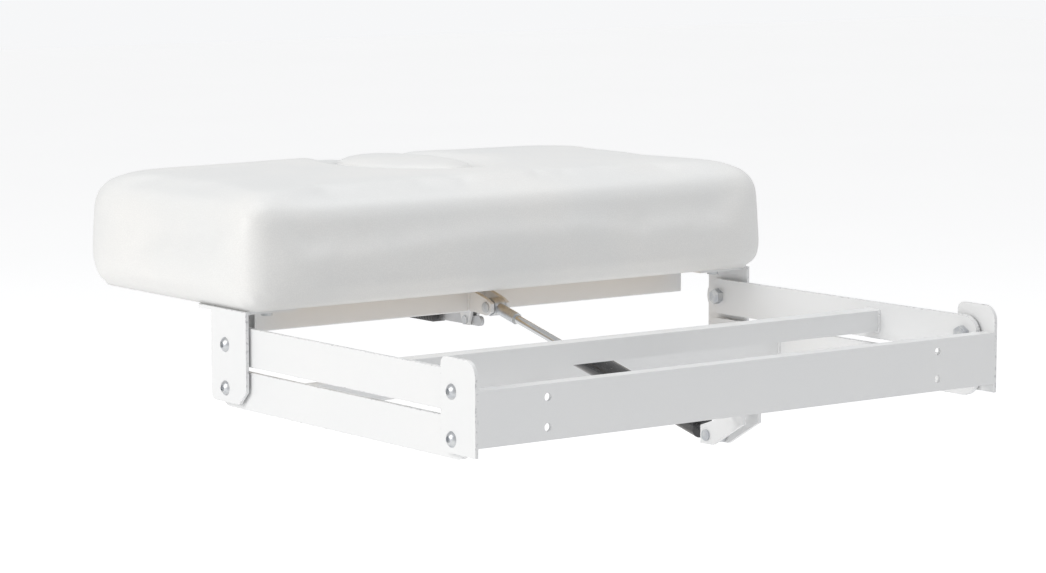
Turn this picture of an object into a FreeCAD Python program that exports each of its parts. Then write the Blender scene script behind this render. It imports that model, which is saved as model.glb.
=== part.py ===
import math
import os

import FreeCAD
import Part
import Sketcher

# Head section of a treatment bed: a padded full-width cushion with an oval breathing hole and its plug,
# carried by a steel parallelogram arm that bolts to the bed.
# X runs across the bed, +Y towards the free end of the head section, +Z up, in millimetres.
# The origin is the centre of the four bolts on the face that meets the bed.

doc = FreeCAD.newDocument("head_section")
sheet = doc.addObject("Spreadsheet::Sheet", "dims")


class Size:
    """A number together with the expression that keeps a property tied to the sheet."""

    def __init__(self, value, text):
        self.value = float(value)
        self.text = text

    def __add__(self, other):
        other = as_size(other)
        return Size(self.value + other.value, f"({self.text} + {other.text})")

    def __sub__(self, other):
        other = as_size(other)
        return Size(self.value - other.value, f"({self.text} - {other.text})")

    def __mul__(self, other):
        other = as_size(other)
        return Size(self.value * other.value, f"({self.text} * {other.text})")

    def __truediv__(self, other):
        other = as_size(other)
        return Size(self.value / other.value, f"({self.text} / {other.text})")

    def __neg__(self):
        return Size(-self.value, f"(-1 * {self.text})")

    def __radd__(self, other):
        return as_size(other) + self

    def __rsub__(self, other):
        return as_size(other) - self

    def __rmul__(self, other):
        return as_size(other) * self


def as_size(number):
    """A Size as it is, or a plain number turned into one."""
    return number if isinstance(number, Size) else Size(number, f"({number})")


def driving(alias, number):
    """Write one driving dimension into the sheet and return it."""
    row = driving.rows = driving.rows + 1
    sheet.set(f"A{row}", alias)
    sheet.set(f"B{row}", str(number))
    sheet.setAlias(f"B{row}", alias)
    return Size(number, f"dims.{alias}")


driving.rows = 0

# Cushion
cushion_width = driving("cushion_width", 780)
cushion_length = driving("cushion_length", 420)
cushion_height = driving("cushion_height", 136)
head_corner_radius = driving("head_corner_radius", 90)
rear_corner_radius = driving("rear_corner_radius", 32)
top_edge_radius = driving("top_edge_radius", 28)
lower_edge_radius = driving("lower_edge_radius", 22)
cover_thickness = driving("cover_thickness", 2)
wrap_width = driving("wrap_width", 34)
board_thickness = driving("board_thickness", 15)
board_setback = driving("board_setback", 2)
board_corner_radius = driving("board_corner_radius", 12)
cushion_rise = driving("cushion_rise", 66)

# Breathing hole and its plug
hole_width = driving("hole_width", 150)
hole_length = driving("hole_length", 220)
hole_to_front = driving("hole_to_front", 170)
hole_wrap = driving("hole_wrap", 24)
plug_gap = driving("plug_gap", 1)
plug_depth = driving("plug_depth", 76)
plug_dome = driving("plug_dome", 8)
plug_edge_radius = driving("plug_edge_radius", 14)
plug_board_thickness = driving("plug_board_thickness", 9)

# Parallelogram arm
link_span = driving("link_span", 440)
link_height = driving("link_height", 44)
link_thickness = driving("link_thickness", 6)
pivot_spacing = driving("pivot_spacing", 50)
rear_pivot_station = driving("rear_pivot_station", 42)
pivot_to_cushion_end = driving("pivot_to_cushion_end", 72)
pivot_radius = driving("pivot_radius", 5)
running_clearance = driving("running_clearance", 0.04)
bush_wall = driving("bush_wall", 1.5)
bush_flange_radius = driving("bush_flange_radius", 10)
bush_flange_thickness = driving("bush_flange_thickness", 3)
press_clearance = driving("press_clearance", 0.02)
bolt_head_height = driving("bolt_head_height", 5)
bolt_head_radius = driving("bolt_head_radius", 9)
bolt_dome_radius = driving("bolt_dome_radius", 10.1)
bolt_socket_radius = driving("bolt_socket_radius", 3.8)
nut_thickness = driving("nut_thickness", 8)
nut_circumradius = driving("nut_circumradius", 9.8)
tube_size = driving("tube_size", 25)
tube_wall = driving("tube_wall", 2)
upper_tube_station = driving("upper_tube_station", 155)
lower_tube_station = driving("lower_tube_station", 335)

# Side plates, channel and yoke
plate_thickness = driving("plate_thickness", 4)
plate_inset = driving("plate_inset", 16)
plate_corner_radius = driving("plate_corner_radius", 9)
bed_plate_front = driving("bed_plate_front", 19)
bed_plate_top = driving("bed_plate_top", 36)
bed_plate_bottom = driving("bed_plate_bottom", 15)
bed_plate_round = driving("bed_plate_round", 18)
channel_height = driving("channel_height", 60)
channel_depth = driving("channel_depth", 18)
bolt_hole_radius = driving("bolt_hole_radius", 4.5)
bolt_spacing_wide = driving("bolt_spacing_wide", 560)
bolt_spacing_high = driving("bolt_spacing_high", 32)
head_plate_rear = driving("head_plate_rear", 44)
head_plate_front = driving("head_plate_front", 30)
head_plate_bottom = driving("head_plate_bottom", 16)
head_plate_chamfer = driving("head_plate_chamfer", 16)
flange_width = driving("flange_width", 74)
flange_rear = driving("flange_rear", 37)
flange_front = driving("flange_front", 63)
yoke_size = driving("yoke_size", 30)
yoke_station = driving("yoke_station", 23)
yoke_end_gap = driving("yoke_end_gap", 43)

# Screws that hold the cushion on the flanges
pad_thickness = driving("pad_thickness", 2)
pad_width = driving("pad_width", 38)
pad_edge = driving("pad_edge", 3)
screw_radius = driving("screw_radius", 3.98)
screw_clearance = driving("screw_clearance", 0.42)
screw_head_radius = driving("screw_head_radius", 7)
screw_head_height = driving("screw_head_height", 4.4)
screw_socket_radius = driving("screw_socket_radius", 2.9)
screw_line = driving("screw_line", 32)
screw_first = driving("screw_first", 15)
screw_pitch = driving("screw_pitch", 35)
nut_bore_radius = driving("nut_bore_radius", 4.02)
nut_barrel_radius = driving("nut_barrel_radius", 5.4)
nut_barrel_depth = driving("nut_barrel_depth", 10)
nut_flange_radius = driving("nut_flange_radius", 11)
nut_flange_thickness = driving("nut_flange_thickness", 1.5)
screw_tip = driving("screw_tip", 2)
nut_relief = driving("nut_relief", 1)

# Gas spring
gas_rear_y = driving("gas_rear_y", 60)
gas_rear_z = driving("gas_rear_z", -59)
gas_front_back = driving("gas_front_back", 12)
gas_front_up = driving("gas_front_up", 16)
gas_pin_radius = driving("gas_pin_radius", 4)
gas_eye_radius = driving("gas_eye_radius", 10)
gas_eye_width = driving("gas_eye_width", 16)
gas_open_radius = driving("gas_open_radius", 6)
gas_head_radius = driving("gas_head_radius", 11)
gas_neck_radius = driving("gas_neck_radius", 7)
gas_tube_radius = driving("gas_tube_radius", 14)
gas_tube_wall = driving("gas_tube_wall", 2)
gas_tube_start = driving("gas_tube_start", 24)
gas_tube_end = driving("gas_tube_end", 262)
gas_rod_radius = driving("gas_rod_radius", 5)
gas_guide_depth = driving("gas_guide_depth", 14)
gas_piston_station = driving("gas_piston_station", 150)
gas_piston_depth = driving("gas_piston_depth", 12)
gas_head_length = driving("gas_head_length", 44)
gas_side_gap = driving("gas_side_gap", 1)
gas_ear_thickness = driving("gas_ear_thickness", 5)
pin_head_margin = driving("pin_head_margin", 2.2)
pin_head_thickness = driving("pin_head_thickness", 2)

# Release lever
lever_pivot_drop = driving("lever_pivot_drop", 12)
lever_pivot_ahead = driving("lever_pivot_ahead", 17)
lever_pin_radius = driving("lever_pin_radius", 3)
lever_height = driving("lever_height", 12)
lever_thickness = driving("lever_thickness", 5)
lever_tail = driving("lever_tail", 26)
lever_reach = driving("lever_reach", 128)
lever_ear_gap = driving("lever_ear_gap", 0.5)
lever_ear_thickness = driving("lever_ear_thickness", 4)
grip_length = driving("grip_length", 72)
grip_height = driving("grip_height", 19)
grip_width = driving("grip_width", 26)
grip_rounding = driving("grip_rounding", 6)
grip_cover = driving("grip_cover", 5)

doc.recompute()

# Places worked out from the driving dimensions
board_inset = lower_edge_radius + board_setback
plate_outside = cushion_width / 2 - plate_inset
plate_inside = plate_outside - plate_thickness
link_outside = plate_inside - bush_flange_thickness
link_inside = link_outside - link_thickness
bush_outer_radius = pivot_radius + running_clearance + bush_wall
link_bore_radius = bush_outer_radius + press_clearance
upper_pivot_z = pivot_spacing / 2
lower_pivot_z = -pivot_spacing / 2
head_pivot_y = rear_pivot_station + link_span
cushion_rear_y = head_pivot_y - pivot_to_cushion_end
cushion_front_y = cushion_rear_y + cushion_length
cushion_bottom_z = cushion_rise
cushion_top_z = cushion_rise + cushion_height
board_bottom_z = cushion_bottom_z + pad_thickness
board_top_z = board_bottom_z + board_thickness
hole_y = cushion_front_y - hole_to_front
plug_top_z = cushion_top_z + plug_dome
plug_bottom_z = cushion_top_z - plug_depth
flange_top_z = cushion_bottom_z
flange_bottom_z = flange_top_z - plate_thickness
flange_inside = plate_outside - flange_width
yoke_rear_y = head_pivot_y + yoke_station
gas_front_y = head_pivot_y - gas_front_back
gas_front_z = upper_pivot_z + gas_front_up
lever_pivot_y = yoke_rear_y + lever_pivot_ahead
lever_pivot_z = flange_bottom_z - yoke_size - lever_pivot_drop

finished = []


def bind(thing, prop, size):
    """Set a property and tie it to the sheet."""
    size = as_size(size)
    thing.setExpression(prop, size.text)


def keep(thing, label):
    """Give a finished sub-part the label that names its file."""
    thing.Label = label
    finished.append(thing)
    return thing


def origin_plane(body, role):
    """One of a body's own origin planes."""
    return [plane for plane in body.Origin.OriginFeatures if plane.Role == role][0]


def new_body(name):
    return doc.addObject("PartDesign::Body", name)


def sketch_at(body, name, role, offset):
    """A sketch on one of the body's origin planes, moved along that plane's normal."""
    sketch = body.newObject("Sketcher::SketchObject", name)
    sketch.AttachmentSupport = [(origin_plane(body, role), "")]
    sketch.MapMode = "FlatFace"
    lifted = FreeCAD.Vector(0, 0, as_size(offset).value)
    sketch.AttachmentOffset = FreeCAD.Placement(lifted, FreeCAD.Rotation())
    bind(sketch, "AttachmentOffset.Base.z", offset)
    return sketch


def pin_point(sketch, geometry, point, across, up):
    """Hold one point of a sketch at its distances from the sketch's origin."""
    for kind, size in (("DistanceX", across), ("DistanceY", up)):
        size = as_size(size)
        number = sketch.addConstraint(Sketcher.Constraint(kind, -1, 1, geometry, point, size.value))
        sketch.setExpression(f"Constraints[{number}]", size.text)


def outline(sketch, corners):
    """A closed outline of straight edges through corners given as pairs of sizes."""
    points = [FreeCAD.Vector(as_size(across).value, as_size(up).value, 0) for across, up in corners]
    first = sketch.GeometryCount
    for index, point in enumerate(points):
        sketch.addGeometry(Part.LineSegment(point, points[(index + 1) % len(points)]), False)
    for index in range(len(points)):
        following = first + (index + 1) % len(points)
        sketch.addConstraint(Sketcher.Constraint("Coincident", first + index, 2, following, 1))
    for index, (across, up) in enumerate(corners):
        pin_point(sketch, first + index, 1, across, up)


def ring(sketch, across, up, radius):
    """A circle in a sketch."""
    across, up, radius = as_size(across), as_size(up), as_size(radius)
    centre = FreeCAD.Vector(across.value, up.value, 0)
    circle = sketch.addGeometry(Part.Circle(centre, FreeCAD.Vector(0, 0, 1), radius.value), False)
    pin_point(sketch, circle, 3, across, up)
    number = sketch.addConstraint(Sketcher.Constraint("Radius", circle, radius.value))
    sketch.setExpression(f"Constraints[{number}]", radius.text)


def stadium(sketch, start, end, height, level):
    """A bar outline with round ends, from one end's centre to the other's."""
    start, end, half, level = as_size(start), as_size(end), as_size(height) / 2, as_size(level)
    normal = FreeCAD.Vector(0, 0, 1)
    left = Part.Circle(FreeCAD.Vector(start.value, level.value, 0), normal, half.value)
    right = Part.Circle(FreeCAD.Vector(end.value, level.value, 0), normal, half.value)
    left_arc = sketch.addGeometry(Part.ArcOfCircle(left, math.pi / 2, 3 * math.pi / 2), False)
    right_arc = sketch.addGeometry(Part.ArcOfCircle(right, -math.pi / 2, math.pi / 2), False)
    low, high = level.value - half.value, level.value + half.value
    bottom = sketch.addGeometry(Part.LineSegment(FreeCAD.Vector(start.value, low, 0),
                                                 FreeCAD.Vector(end.value, low, 0)), False)
    top = sketch.addGeometry(Part.LineSegment(FreeCAD.Vector(end.value, high, 0),
                                              FreeCAD.Vector(start.value, high, 0)), False)
    for line, point, arc, arc_point in ((bottom, 1, left_arc, 2), (bottom, 2, right_arc, 1),
                                        (top, 1, right_arc, 2), (top, 2, left_arc, 1)):
        sketch.addConstraint(Sketcher.Constraint("Tangent", line, point, arc, arc_point))
    pin_point(sketch, left_arc, 3, start, level)
    pin_point(sketch, right_arc, 3, end, level)
    number = sketch.addConstraint(Sketcher.Constraint("Radius", left_arc, half.value))
    sketch.setExpression(f"Constraints[{number}]", half.text)


def pad(body, sketch, length, name):
    """A pad of the sketch along its plane's normal."""
    feature = body.newObject("PartDesign::Pad", name)
    feature.Profile = sketch
    bind(feature, "Length", length)
    sketch.Visibility = False
    doc.recompute()
    return feature


def round_edges(body, base, name, radius, wanted):
    """A fillet on those edges of a feature that the test picks out."""
    doc.recompute()
    names = [f"Edge{number + 1}" for number, edge in enumerate(base.Shape.Edges) if wanted(edge)]
    fillet = body.newObject("PartDesign::Fillet", name)
    fillet.Base = (base, names)
    bind(fillet, "Radius", radius)
    doc.recompute()
    return fillet


def near(number, size):
    """True where a measured number equals a size."""
    return abs(number - as_size(size).value) < 0.01


def along(edge, axis):
    """True for a straight edge that runs along one axis, given as 0, 1 or 2."""
    spread = edge.BoundBox
    lengths = (spread.XLength, spread.YLength, spread.ZLength)
    return all(near(length, 0) for number, length in enumerate(lengths) if number != axis)


def on_level(edge, level):
    """True for an edge that lies in one horizontal plane."""
    return near(edge.BoundBox.ZMin, level) and near(edge.BoundBox.ZMax, level)


def side_name(side):
    return "left" if side < 0 else "right"


def from_side(side, inner, thickness):
    """Where a pad along +X starts, for a plate whose inner face is at that distance from the middle."""
    return as_size(inner) if side > 0 else -(as_size(inner) + thickness)


def box_tool(name, corner, lengths):
    """A box with its corner and its sizes tied to the sheet."""
    box = doc.addObject("Part::Box", name)
    for prop, size in zip(("Length", "Width", "Height"), lengths):
        bind(box, prop, size)
    for axis, size in zip("xyz", corner):
        bind(box, f"Placement.Base.{axis}", size)
    return box


def rod(name, start, length, radius, across=True):
    """A cylinder along +X from its start, or along +Z."""
    cylinder = doc.addObject("Part::Cylinder", name)
    if across:
        cylinder.Placement.Rotation = FreeCAD.Rotation(FreeCAD.Vector(0, 1, 0), 90)
    bind(cylinder, "Radius", radius)
    bind(cylinder, "Height", length)
    for axis, size in zip("xyz", start):
        bind(cylinder, f"Placement.Base.{axis}", size)
    return cylinder


def cut(name, base, tool):
    result = doc.addObject("Part::Cut", name)
    result.Base = base
    result.Tool = tool
    return result


def fuse(name, *pieces):
    result = doc.addObject("Part::MultiFuse", name)
    result.Shapes = list(pieces)
    return result


def group(label, pieces):
    """Separate solids of identical pieces in one node."""
    result = doc.addObject("Part::Compound", label)
    result.Links = list(pieces)
    return keep(result, label)


# ---------------------------------------------------------------- cushion

def padded_block(name, inset):
    """The cushion's outer block, or the one inside its cover, with all its edges rounded."""
    body = new_body(name)
    half = cushion_width / 2 - inset
    rear = cushion_rear_y + inset
    front = cushion_front_y - inset
    low = cushion_bottom_z + inset
    sketch = sketch_at(body, f"{name}_plan", "XY_Plane", low)
    outline(sketch, [(-half, rear), (half, rear), (half, front), (-half, front)])
    block = pad(body, sketch, cushion_height - 2 * as_size(inset), f"{name}_pad")

    def at_end(place):
        return lambda edge: along(edge, 2) and near(edge.BoundBox.YMin, place)

    block = round_edges(body, block, f"{name}_head", head_corner_radius - inset, at_end(front))
    block = round_edges(body, block, f"{name}_rear", rear_corner_radius - inset, at_end(rear))
    high = cushion_top_z - inset
    block = round_edges(body, block, f"{name}_top", top_edge_radius - inset,
                        lambda edge: on_level(edge, high))
    round_edges(body, block, f"{name}_low", lower_edge_radius - inset, lambda edge: on_level(edge, low))
    return body


def oval(name, half_width, half_length, start, height):
    """An upright oval prism over the breathing hole's centre."""
    ellipse = doc.addObject("Part::Ellipse", f"{name}_oval")
    ellipse.Placement.Rotation = FreeCAD.Rotation(FreeCAD.Vector(0, 0, 1), 90)
    bind(ellipse, "MajorRadius", half_length)
    bind(ellipse, "MinorRadius", half_width)
    bind(ellipse, "Placement.Base.y", hole_y)
    bind(ellipse, "Placement.Base.z", start)
    prism = doc.addObject("Part::Extrusion", name)
    prism.Base = ellipse
    prism.DirMode = "Custom"
    prism.Dir = FreeCAD.Vector(0, 0, 1)
    prism.Solid = True
    bind(prism, "LengthFwd", height)
    return prism


def hole_through(name, grow):
    """The breathing hole as a tool, wider by grow all round, right through the cushion."""
    spare = board_thickness
    return oval(name, hole_width / 2 + grow, hole_length / 2 + grow,
                cushion_bottom_z - spare, cushion_height + 2 * spare)


def screw_places():
    """Middle of each cushion screw in plan, three on each side."""
    for side in (-1, 1):
        for step in range(3):
            across = side * (flange_inside + screw_line)
            ahead = head_pivot_y - flange_rear + screw_first + step * screw_pitch
            yield f"{side_name(side)}_{step + 1}", across, ahead


def upright_holes(name, radius, low, high):
    """One tool with an upright cylinder at every cushion screw."""
    pieces = [rod(f"{name}_{tag}", (across, ahead, low), high - low, radius, across=False)
              for tag, across, ahead in screw_places()]
    return fuse(name, *pieces)


def board_block(name):
    """The base board's outline at its full thickness."""
    body = new_body(name)
    half = cushion_width / 2 - board_inset
    rear = cushion_rear_y + board_inset
    front = cushion_front_y - board_inset
    sketch = sketch_at(body, f"{name}_plan", "XY_Plane", board_bottom_z)
    outline(sketch, [(-half, rear), (half, rear), (half, front), (-half, front)])
    board = pad(body, sketch, board_thickness, f"{name}_pad")
    front_radius = head_corner_radius - board_inset
    board = round_edges(body, board, f"{name}_head", front_radius,
                        lambda edge: along(edge, 2) and near(edge.BoundBox.YMin, front))
    round_edges(body, board, f"{name}_rear", board_corner_radius,
                lambda edge: along(edge, 2) and near(edge.BoundBox.YMin, rear))
    return body


def make_cushion():
    """Cover, foam and base board, all pierced by the breathing hole."""
    # The cover: a skin round the foam and board, turned under along the outside and round the hole.
    outside = cut("cover_pierced", padded_block("cover_outside", 0), hole_through("cover_hole", 0))
    space = cut("cover_space", padded_block("cover_inside", cover_thickness),
                hole_through("cover_lining", cover_thickness))
    shell = cut("cover_shell", outside, space)
    corner = (wrap_width - cushion_width / 2, cushion_rear_y + wrap_width,
              cushion_bottom_z - cover_thickness)
    lengths = (cushion_width - 2 * wrap_width, cushion_length - 2 * wrap_width, 2 * cover_thickness)
    opening = box_tool("cover_opening_box", corner, lengths)
    collar = oval("cover_collar", hole_width / 2 + hole_wrap, hole_length / 2 + hole_wrap,
                  cushion_bottom_z - board_thickness, 2 * board_thickness)
    keep(cut("cushion_cover", shell, cut("cover_opening", opening, collar)), "cushion_cover")

    # The foam fills the cover above and around the board, with pockets over the tee nuts.
    block = cut("foam_block", padded_block("foam_inside", cover_thickness),
                hole_through("foam_hole", cover_thickness))
    pockets = upright_holes("foam_pockets", nut_flange_radius + nut_relief, board_bottom_z,
                            board_top_z + nut_flange_thickness + screw_tip + nut_relief)
    below = box_tool("foam_below", (-cushion_width / 2, cushion_rear_y, cushion_bottom_z - cover_thickness),
                     (cushion_width, cushion_length, cover_thickness + pad_thickness))
    spaces = fuse("foam_spaces", board_block("foam_board"), pockets, below)
    keep(cut("foam_core", block, spaces), "foam_core")

    # The plywood board, drilled for the tee nuts.
    drilled = fuse("board_holes", hole_through("board_hole", cover_thickness),
                   upright_holes("board_nut_holes", nut_barrel_radius, board_bottom_z - pad_thickness,
                                 board_top_z + pad_thickness))
    keep(cut("base_board", board_block("board_blank"), drilled), "base_board")


def make_plug():
    """The filler plug of the breathing hole: plywood disc, foam and a cover over both."""
    half_width = hole_width / 2 - plug_gap
    half_length = hole_length / 2 - plug_gap
    full = plug_depth + plug_dome

    def domed(name, inset):
        prism = oval(f"{name}_prism", half_width - inset, half_length - inset, plug_bottom_z, full - inset)
        doc.recompute()
        top = plug_top_z - inset
        number = [place + 1 for place, edge in enumerate(prism.Shape.Edges) if on_level(edge, top)][0]
        rounded = doc.addObject("Part::Fillet", name)
        rounded.Base = prism
        radius = (plug_edge_radius - inset).value
        rounded.Edges = [(number, radius, radius)]
        return rounded

    inside = (half_width - cover_thickness, half_length - cover_thickness)
    skin = cut("plug_cover", domed("plug_outside", as_size(0)), domed("plug_inside", cover_thickness))
    keep(skin, "plug_cover")
    keep(oval("plug_board", *inside, plug_bottom_z, plug_board_thickness), "plug_board")
    under = oval("plug_under", half_width, half_length, plug_bottom_z, plug_board_thickness)
    keep(cut("plug_foam", domed("plug_filling", cover_thickness), under), "plug_foam")


# ---------------------------------------------------------------- parallelogram arm

def make_links(level_name, level, station):
    """A pair of flat steel links, the square tube welded between them and their flanged bushes."""
    ends = (rear_pivot_station, head_pivot_y)
    for side in (-1, 1):
        label = f"{level_name}_link_{side_name(side)}"
        body = new_body(label)
        start = from_side(side, link_inside, link_thickness)
        sketch = sketch_at(body, f"{label}_outline", "YZ_Plane", start)
        stadium(sketch, *ends, link_height, level)
        for station_y in ends:
            ring(sketch, station_y, level, link_bore_radius)
        pad(body, sketch, link_thickness, f"{label}_bar")
        keep(body, label)

    label = f"{level_name}_cross_tube"
    body = new_body(label)
    sketch = sketch_at(body, f"{label}_section", "YZ_Plane", -link_inside)
    middle = rear_pivot_station + station
    for half in (tube_size / 2, tube_size / 2 - tube_wall):
        outline(sketch, [(middle - half, level - half), (middle + half, level - half),
                         (middle + half, level + half), (middle - half, level + half)])
    pad(body, sketch, 2 * link_inside, f"{label}_length")
    keep(body, label)

    bushes = []
    for side in (-1, 1):
        for tag, station_y in zip(("rear", "front"), ends):
            name = f"{level_name}_bush_{side_name(side)}_{tag}"
            sleeve = rod(f"{name}_sleeve", (from_side(side, link_inside, link_thickness), station_y, level),
                         link_thickness, bush_outer_radius)
            flange_start = from_side(side, link_outside, bush_flange_thickness)
            flange = rod(f"{name}_flange", (flange_start, station_y, level),
                         bush_flange_thickness, bush_flange_radius)
            reach = link_thickness + bush_flange_thickness
            bore = rod(f"{name}_bore", (from_side(side, link_inside, reach), station_y, level), reach,
                       pivot_radius + running_clearance)
            bushes.append(cut(name, fuse(f"{name}_blank", sleeve, flange), bore))
    group(f"{level_name}_link_bushes", bushes)


def pivot_bolt(name, side, station_y, level):
    """A shoulder bolt from outside the side plate to the nut behind the link."""
    shank_reach = plate_outside - link_inside + nut_thickness
    shank_start = from_side(side, link_inside - nut_thickness, shank_reach)
    shank = rod(f"{name}_shank", (shank_start, station_y, level), shank_reach, pivot_radius)
    sphere = doc.addObject("Part::Sphere", f"{name}_sphere")
    bind(sphere, "Radius", bolt_dome_radius)
    sunk = bolt_head_height - bolt_dome_radius
    bind(sphere, "Placement.Base.x", side * (plate_outside + sunk))
    bind(sphere, "Placement.Base.y", station_y)
    bind(sphere, "Placement.Base.z", level)
    slice_ = rod(f"{name}_slice", (from_side(side, plate_outside, bolt_head_height), station_y, level),
                 bolt_head_height, bolt_head_radius)
    dome = doc.addObject("Part::Common", f"{name}_dome")
    dome.Base = sphere
    dome.Tool = slice_
    socket_reach = bolt_head_height / 2
    socket = doc.addObject("Part::Prism", f"{name}_socket")
    socket.Polygon = 6
    socket.Placement.Rotation = FreeCAD.Rotation(FreeCAD.Vector(0, 1, 0), 90)
    bind(socket, "Circumradius", bolt_socket_radius)
    bind(socket, "Height", socket_reach)
    bind(socket, "Placement.Base.x", from_side(side, plate_outside + socket_reach, socket_reach))
    bind(socket, "Placement.Base.y", station_y)
    bind(socket, "Placement.Base.z", level)
    return cut(name, fuse(f"{name}_blank", shank, dome), socket)


def pivot_nut(name, side, station_y, level):
    """A hexagon lock nut on the inner side of the link."""
    nut = doc.addObject("Part::Prism", f"{name}_hexagon")
    nut.Polygon = 6
    nut.Placement.Rotation = FreeCAD.Rotation(FreeCAD.Vector(0, 1, 0), 90)
    bind(nut, "Circumradius", nut_circumradius)
    bind(nut, "Height", nut_thickness)
    bind(nut, "Placement.Base.x", from_side(side, link_inside - nut_thickness, nut_thickness))
    bind(nut, "Placement.Base.y", station_y)
    bind(nut, "Placement.Base.z", level)
    bore_start = from_side(side, link_inside - nut_thickness, nut_thickness)
    bore = rod(f"{name}_bore", (bore_start, station_y, level), nut_thickness, pivot_radius + press_clearance)
    return cut(name, nut, bore)


def make_pivots(end_name, station_y):
    """The four bolts and four nuts at one end of the arm."""
    bolts = []
    nuts = []
    for side in (-1, 1):
        for tag, level in (("upper", upper_pivot_z), ("lower", lower_pivot_z)):
            name = f"{end_name}_{side_name(side)}_{tag}"
            bolts.append(pivot_bolt(f"{name}_bolt", side, station_y, level))
            nuts.append(pivot_nut(f"{name}_nut", side, station_y, level))
    group(f"{end_name}_pivot_bolts", bolts)
    group(f"{end_name}_pivot_nuts", nuts)


# ---------------------------------------------------------------- plates at both ends

def make_bed_end():
    """Channel that bolts to the bed and the two side plates welded on its ends."""
    body = new_body("channel_profile")
    half = channel_height / 2
    inner = half - plate_thickness
    sketch = sketch_at(body, "channel_section", "YZ_Plane", -plate_inside)
    outline(sketch, [(0, -half), (channel_depth, -half), (channel_depth, -inner), (plate_thickness, -inner),
                     (plate_thickness, inner), (channel_depth, inner), (channel_depth, half), (0, half)])
    channel = pad(body, sketch, 2 * plate_inside, "channel_length")
    holes = []
    for across in (-bolt_spacing_wide / 2, bolt_spacing_wide / 2):
        for up in (-bolt_spacing_high / 2, bolt_spacing_high / 2):
            drill = doc.addObject("Part::Cylinder", "channel_drill")
            drill.Placement.Rotation = FreeCAD.Rotation(FreeCAD.Vector(1, 0, 0), -90)
            bind(drill, "Radius", bolt_hole_radius)
            bind(drill, "Height", 3 * plate_thickness)
            bind(drill, "Placement.Base.x", across)
            bind(drill, "Placement.Base.y", -plate_thickness)
            bind(drill, "Placement.Base.z", up)
            holes.append(drill)
    round_edges(body, channel, "channel_bend", plate_thickness,
                lambda edge: along(edge, 0) and near(edge.BoundBox.YMin, plate_thickness))
    keep(cut("mount_channel", body, fuse("channel_drills", *holes)), "mount_channel")

    for side in (-1, 1):
        label = f"bed_plate_{side_name(side)}"
        body = new_body(label)
        start = from_side(side, plate_inside, plate_thickness)
        sketch = sketch_at(body, f"{label}_outline", "YZ_Plane", start)
        front = rear_pivot_station + bed_plate_front
        top = upper_pivot_z + bed_plate_top
        bottom = lower_pivot_z - bed_plate_bottom
        outline(sketch, [(0, bottom), (front, bottom), (front, top), (0, top)])
        for level in (upper_pivot_z, lower_pivot_z):
            ring(sketch, rear_pivot_station, level, pivot_radius + running_clearance)
        plate = pad(body, sketch, plate_thickness, f"{label}_sheet")
        plate = round_edges(body, plate, f"{label}_round", bed_plate_round,
                            lambda edge: along(edge, 0) and near(edge.BoundBox.ZMin, top)
                            and near(edge.BoundBox.YMin, 0))
        round_edges(body, plate, f"{label}_corners", plate_corner_radius,
                    lambda edge: along(edge, 0) and near(edge.BoundBox.YMin, front))
        keep(body, label)


def make_head_plates():
    """Angle plates under the cushion, one on each side, that carry the front pivots."""
    for side in (-1, 1):
        label = f"head_plate_{side_name(side)}"
        body = new_body(label)
        rear = head_pivot_y - head_plate_rear
        front = head_pivot_y + head_plate_front
        bottom = lower_pivot_z - head_plate_bottom
        start = from_side(side, plate_inside, plate_thickness)
        sketch = sketch_at(body, f"{label}_outline", "YZ_Plane", start)
        outline(sketch, [(rear, flange_top_z), (rear, bottom + head_plate_chamfer),
                         (rear + head_plate_chamfer, bottom), (front, bottom), (front, flange_top_z)])
        for level in (upper_pivot_z, lower_pivot_z):
            ring(sketch, head_pivot_y, level, pivot_radius + running_clearance)
        leg = pad(body, sketch, plate_thickness, f"{label}_leg")
        round_edges(body, leg, f"{label}_corner", plate_corner_radius,
                    lambda edge: along(edge, 0) and near(edge.BoundBox.ZMin, bottom)
                    and near(edge.BoundBox.YMin, front))
        sketch = sketch_at(body, f"{label}_flange_plan", "XY_Plane", flange_bottom_z)
        inner = side * flange_inside
        outer = side * plate_outside
        corners = [(inner, head_pivot_y - flange_rear), (outer, head_pivot_y - flange_rear),
                   (outer, head_pivot_y + flange_front), (inner, head_pivot_y + flange_front)]
        outline(sketch, corners if side > 0 else corners[::-1])
        for tag, across, ahead in screw_places():
            if tag.startswith(side_name(side)):
                ring(sketch, across, ahead, screw_radius + screw_clearance)
        flange = pad(body, sketch, plate_thickness, f"{label}_flange")
        round_edges(body, flange, f"{label}_flange_corners", plate_corner_radius,
                    lambda edge: along(edge, 2) and near(edge.BoundBox.YMin, head_pivot_y + flange_front))
        keep(body, label)

        label = f"flange_pad_{side_name(side)}"
        start = side * (flange_inside + pad_edge) if side > 0 else -(flange_inside + pad_edge + pad_width)
        strip = box_tool(f"{label}_strip", (start, head_pivot_y - flange_rear + pad_edge, flange_top_z),
                         (pad_width, flange_rear + flange_front - 2 * pad_edge, pad_thickness))
        holes = upright_holes(f"{label}_holes", screw_radius + screw_clearance, flange_bottom_z,
                              board_bottom_z + pad_thickness)
        keep(cut(label, strip, holes), label)


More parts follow.
